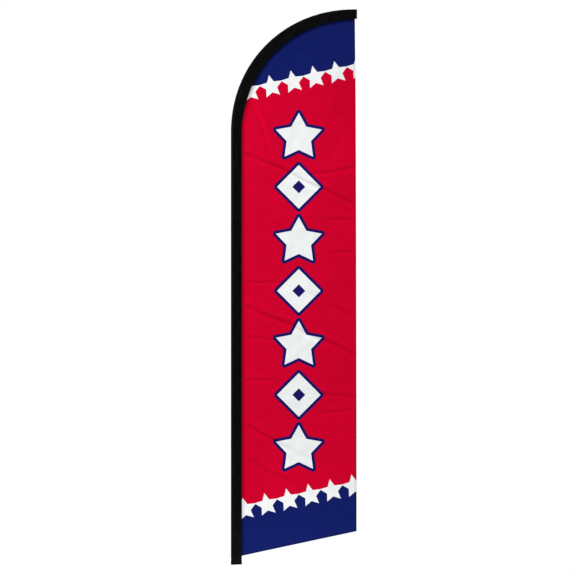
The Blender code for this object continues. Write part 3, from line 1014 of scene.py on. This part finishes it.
def makeTape():
    tapeLow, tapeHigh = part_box("seam_tape")
    columns = np.linspace(-tape["onSleeve"], tape["onPanel"], tape["columns"])
    length = np.arange(tapeLow.z, path["length"][-1], tape["step"])
    x, z, inwardX, inwardZ, turn = pathAt(length)
    kept = (x + inwardX * seamAcross(turn)) <= tapeHigh.x
    length, x, z, inwardX, inwardZ, turn = (v[kept] for v in (length, x, z, inwardX, inwardZ, turn))
    under, over, flat = [], [], []
    for across in columns:
        off = seamAcross(turn) + across
        px, pz = x + inwardX * off, z + inwardZ * off
        pz[0] += tape["aboveFoot"] + max(across, 0.0) * bandRise
        base = clothBack(px, pz, across) + tape["offCloth"]
        edge = tape["thinEdge"] if across in (columns[0], columns[-1]) else 1.0
        ripple = tape["ripple"] * hills(px, pz, 60.0, 3.3)
        under.append(np.stack([px, base, pz], axis=1))
        over.append(np.stack([px, base + tape["thickness"] * edge + ripple, pz], axis=1))
        flat.append(np.stack([np.full_like(px, across), length], axis=1))
    made = clothPiece("seam_tape_cloth", np.concatenate(under + over),
                      shellFaces(len(columns), len(length)), np.concatenate(flat + flat), tapeCloth)
    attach(made, "flag")
    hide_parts("seam_tape")
    return over


tapeTops = makeTape()


def makeSeamStitches():
    # two rows on the sleeve's lip in front, and one near each edge of the tape behind
    rows = []
    foot, reach = sleeveLow.z + stitching["aboveFoot"], sleeveHigh.x - stitching["beforeTip"]
    length = sleeveStations(foot, reach, stitching["step"])
    x, z, inwardX, inwardZ, turn = pathAt(length)
    lip = sleeve["wall"] + sleeve["lipGap"] / 2
    for across in stitching["lipRows"]:
        section = np.stack([seamAcross(turn) + across, np.full_like(x, -lip)], axis=1)
        rows.append(stitchRow(standing(x, inwardX, z, inwardZ, section), -1))
    for column in (1, tape["columns"] - 2):
        rows.append(stitchRow(tapeTops[column][2:-2], 1))
    makeStitches("seam_stitches", rows, blackThread)


def makeHemStitches():
    # one row inside each turned hem, front and back
    flyTop = panelHigh.x - panel["flyFlare"]
    footZ = footLine(panelHigh.x)
    inset = panel["hemWidth"] - stitching["inFromHem"]
    share = np.linspace(0.9985, 0.006, stitching["flyPoints"])
    topZ = float(seamLine(0, panelLow.z, flyTop)[-1][1])
    flyX = flyEdge(share) - inset
    flyZ = footZ + (topZ - footZ) * share
    footX = np.linspace(panelLow.x + 0.006, panelHigh.x - 0.004, stitching["footPoints"])
    rows = []
    for x, z in ((flyX, flyZ), (footX, footLine(footX) + inset / math.cos(bandSlope))):
        height = panelHeight(x, z, seamDistance(x, z))
        for side in (-1, 1):
            y = height + side * panel["hemThickness"] / 2
            rows.append(stitchRow(np.stack([x, y, z], axis=1), side))
    makeStitches("hem_stitches", rows, hemThread)


makeSeamStitches()
makeHemStitches()


# ---- the binding at the sleeve's foot and the webbing pocket at its tip

binding = {
    "gap": 0.00030,
    "wall": 0.00050,
    "swell": 0.00045,
    "ripple": 0.00018,
    "rows": 9,
    "stitchInset": 0.0035,
}


def bindingLoop(height, stand, swell=0.0, ripple=0.0):
    # a level section of the binding, and which way each of its points faces
    low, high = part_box("foot_binding")
    share = (height - low.z) / (high.z - low.z)
    loop, outward = sectionLoop(0.0, 0.0, height, stand, 8, 20)[:2]
    around = np.linspace(0, 1, len(loop))
    waves = np.array([noise.noise(Vector((turn * 40, height * 90, 1.0))) for turn in around])
    out = swell * math.sin(math.pi * share) ** 0.5 + ripple * waves
    return np.insert(loop + outward * out[:, None], 2, height, axis=1), np.insert(outward, 2, 0, axis=1)


def makeBinding():
    low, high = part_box("foot_binding")
    heights = np.linspace(low.z, high.z, binding["rows"])
    face = binding["gap"] + binding["wall"]
    outer = [bindingLoop(height, face, binding["swell"], binding["ripple"])[0] for height in heights]
    inner = [bindingLoop(height, binding["gap"])[0] for height in heights]
    points = np.concatenate(outer + inner)
    flat = np.stack([np.tile(runAlong(outer[0]), 2 * len(heights)), points[:, 2]], axis=1)
    faces = shellFaces(len(heights), len(outer[0]), ring=True)
    made = clothPiece("foot_binding_tape", points, faces, flat, tapeCloth)
    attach(made, "flag")
    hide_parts("foot_binding")
    seams = (low.z + binding["stitchInset"], high.z - binding["stitchInset"])
    rows = [bindingLoop(height, face, binding["swell"]) for height in seams]
    makeStitches("binding_stitches", rows, blackThread)


makeBinding()

pocket = {
    "width": 0.0400,
    "depth": 0.0500,
    "gap": 0.00030,
    "wall": 0.00080,
    "end": 0.0015,
    "rows": 12,
    "flankSteps": 6,
    "noseSteps": 18,
    "endSpacing": 0.004,
}


def pocketLoop(x, z, turn, inset):
    # a wedge inside the sleeve, moved further in by the inset
    centre = float(noseRadius(x, z)) - noseFoot
    sleeveInside = float(noseRadius(x, z)) - sleeve["wall"]
    lipAcross = float(seamAcross(turn)) - sleeve["lip"]
    tail = pocket["width"] - noseFoot
    share = (tail - centre) / (lipAcross - centre)
    tailHalf = sleeveInside + (sleeve["lipGap"] / 2 - sleeveInside) * share - pocket["gap"] - inset
    radius = sleeveInside - pocket["gap"] - inset
    tail -= inset
    touch = math.atan2(tailHalf, tail - centre) + math.acos(radius / math.hypot(tail - centre, tailHalf))
    angles = np.linspace(touch, 2 * math.pi - touch, pocket["noseSteps"] + 1)
    arc = np.stack([centre + radius * np.cos(angles), radius * np.sin(angles)], axis=1)
    side = np.linspace((tail, tailHalf), arc[0], pocket["flankSteps"], endpoint=False)
    return np.concatenate([side, arc, side[::-1] * (1, -1)])


def makePocket():
    # a webbing wedge with a closed, slightly domed end
    reach = np.linspace(sleeveHigh.x - pocket["depth"] + 0.001, sleeveHigh.x - 0.0004, pocket["rows"])
    length = np.interp(reach, path["x"], path["length"])
    x, z, inwardX, inwardZ, turn = pathAt(length)

    def row(i, section, out=0.0):
        return standing(x[i] + out, inwardX[i], z[i], inwardZ[i], section)

    last = pocketLoop(x[-1], z[-1], turn[-1], 0.0)
    middle = last.mean(axis=0)
    floor = [row(-1, middle + (last - middle) * share, -pocket["end"]) for share in (0.25, 0.80)]
    dome = [row(-1, middle + (last - middle) * share, out)
            for share, out in ((0.82, 0.0002), (0.55, 0.00035), (0.25, 0.0004))]
    inside = [row(i, pocketLoop(x[i], z[i], turn[i], pocket["wall"])) for i in range(len(length) - 1)]
    outside = [row(i, pocketLoop(x[i], z[i], turn[i], 0.0)) for i in range(len(length))]
    shells = floor + inside[::-1] + outside + dome
    ends = length[-1] + pocket["endSpacing"] * np.arange(1, 6)
    lengths = np.concatenate([ends[3:], 2 * length[-1] - length[-2::-1], length, ends[:3]])
    count = len(shells[0])
    total = count * len(shells)
    faces = [tuple(range(count - 1, -1, -1)), tuple(range(total - count, total))]
    for i in range(0, total - count, count):
        for k in range(count):
            a, b = i + k, i + (k + 1) % count
            faces.append((a, a + count, b + count, b))
    flat = np.stack([np.tile(runAlong(outside[0]), len(shells)), np.repeat(lengths, count)], axis=1)
    made = clothPiece("tip_pocket_webbing", np.concatenate(shells), faces, flat, webCloth)
    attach(made, "flag")
    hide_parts("tip_pocket")


makePocket()
print("the cloth pieces are sewn")


# ---- hard parts keep their CAD shapes and take worn finishes

hardStyles = {
    # colour, roughness, metallic, then the grain's stretch, scale and depth
    "satin_aluminium": ((0.60, 0.61, 0.62), 0.36, 1.0, (1, 1, 0.02), 900.0, 0.00004),
    "rivet_aluminium": ((0.66, 0.66, 0.67), 0.30, 1.0, (1, 1, 1), 700.0, 0.00005),
    "black_nylon": ((0.012, 0.012, 0.013), 0.48, 0.0, (1, 1, 1), 1400.0, 0.00006),
    "fibreglass": ((0.045, 0.045, 0.042), 0.34, 0.0, (0.04, 1, 0.04), 1200.0, 0.00006),
    "black_rubber": ((0.010, 0.010, 0.010), 0.70, 0.0, (1, 1, 1), 1900.0, 0.00010),
    "white_nylon": ((0.70, 0.69, 0.65), 0.50, 0.0, (1, 1, 0.3), 900.0, 0.00004),
    "zinc_steel": ((0.55, 0.56, 0.58), 0.32, 1.0, (1, 1, 0.15), 500.0, 0.00006),
    "spring_steel": ((0.28, 0.28, 0.29), 0.36, 1.0, (0.3, 0.3, 1), 800.0, 0.00004),
}


def makeHardFinish(name, colour, roughness, metallic, stretch, scale, depth):
    made, tree, shader = newFinish(name.replace("_", " "), colour, roughness, metallic=metallic)
    where = onPiece(tree)
    grain = speckle(tree, where, scale, 3.0, stretch=stretch)
    stain = speckle(tree, where, 26.0, 5.0)
    scratches = speckle(tree, where, 140.0, 6.0, 0.7, stretch=(1, 1, 0.25))
    scuff = fromTo(tree, scratches, 0.60, 0.72, 0.0, 1.0)
    grained = fromTo(tree, grain, 0.3, 0.7, 0.94, 1.04)
    tint = calc(tree, "MULTIPLY", grained, fromTo(tree, stain, 0.3, 0.7, 0.86, 1.04))
    tint = calc(tree, "MULTIPLY_ADD", scuff, -0.10 if metallic else 0.25, tint)
    link(tree, shadeColour(tree, colour, tint), shader, "Base Color")
    base = fromTo(tree, stain, 0.3, 0.7, roughness - 0.05, roughness + 0.10)
    link(tree, calc(tree, "MULTIPLY_ADD", scuff, 0.12, base), shader, "Roughness")
    addBump(tree, shader, grain, depth, 0.5)
    return made


finishes = {name: makeHardFinish(name, *style) for name, style in hardStyles.items()}
finishes.update(printed_cloth=redCloth, black_cloth=sleeveCloth, black_tape=tapeCloth, webbing=webCloth)
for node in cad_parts.values():
    for materialSlot in node.material_slots:
        named = materialSlot.material.name.split(".")[0]
        materialSlot.material = finishes.get(named, materialSlot.material)
print("the hard parts have their finishes")
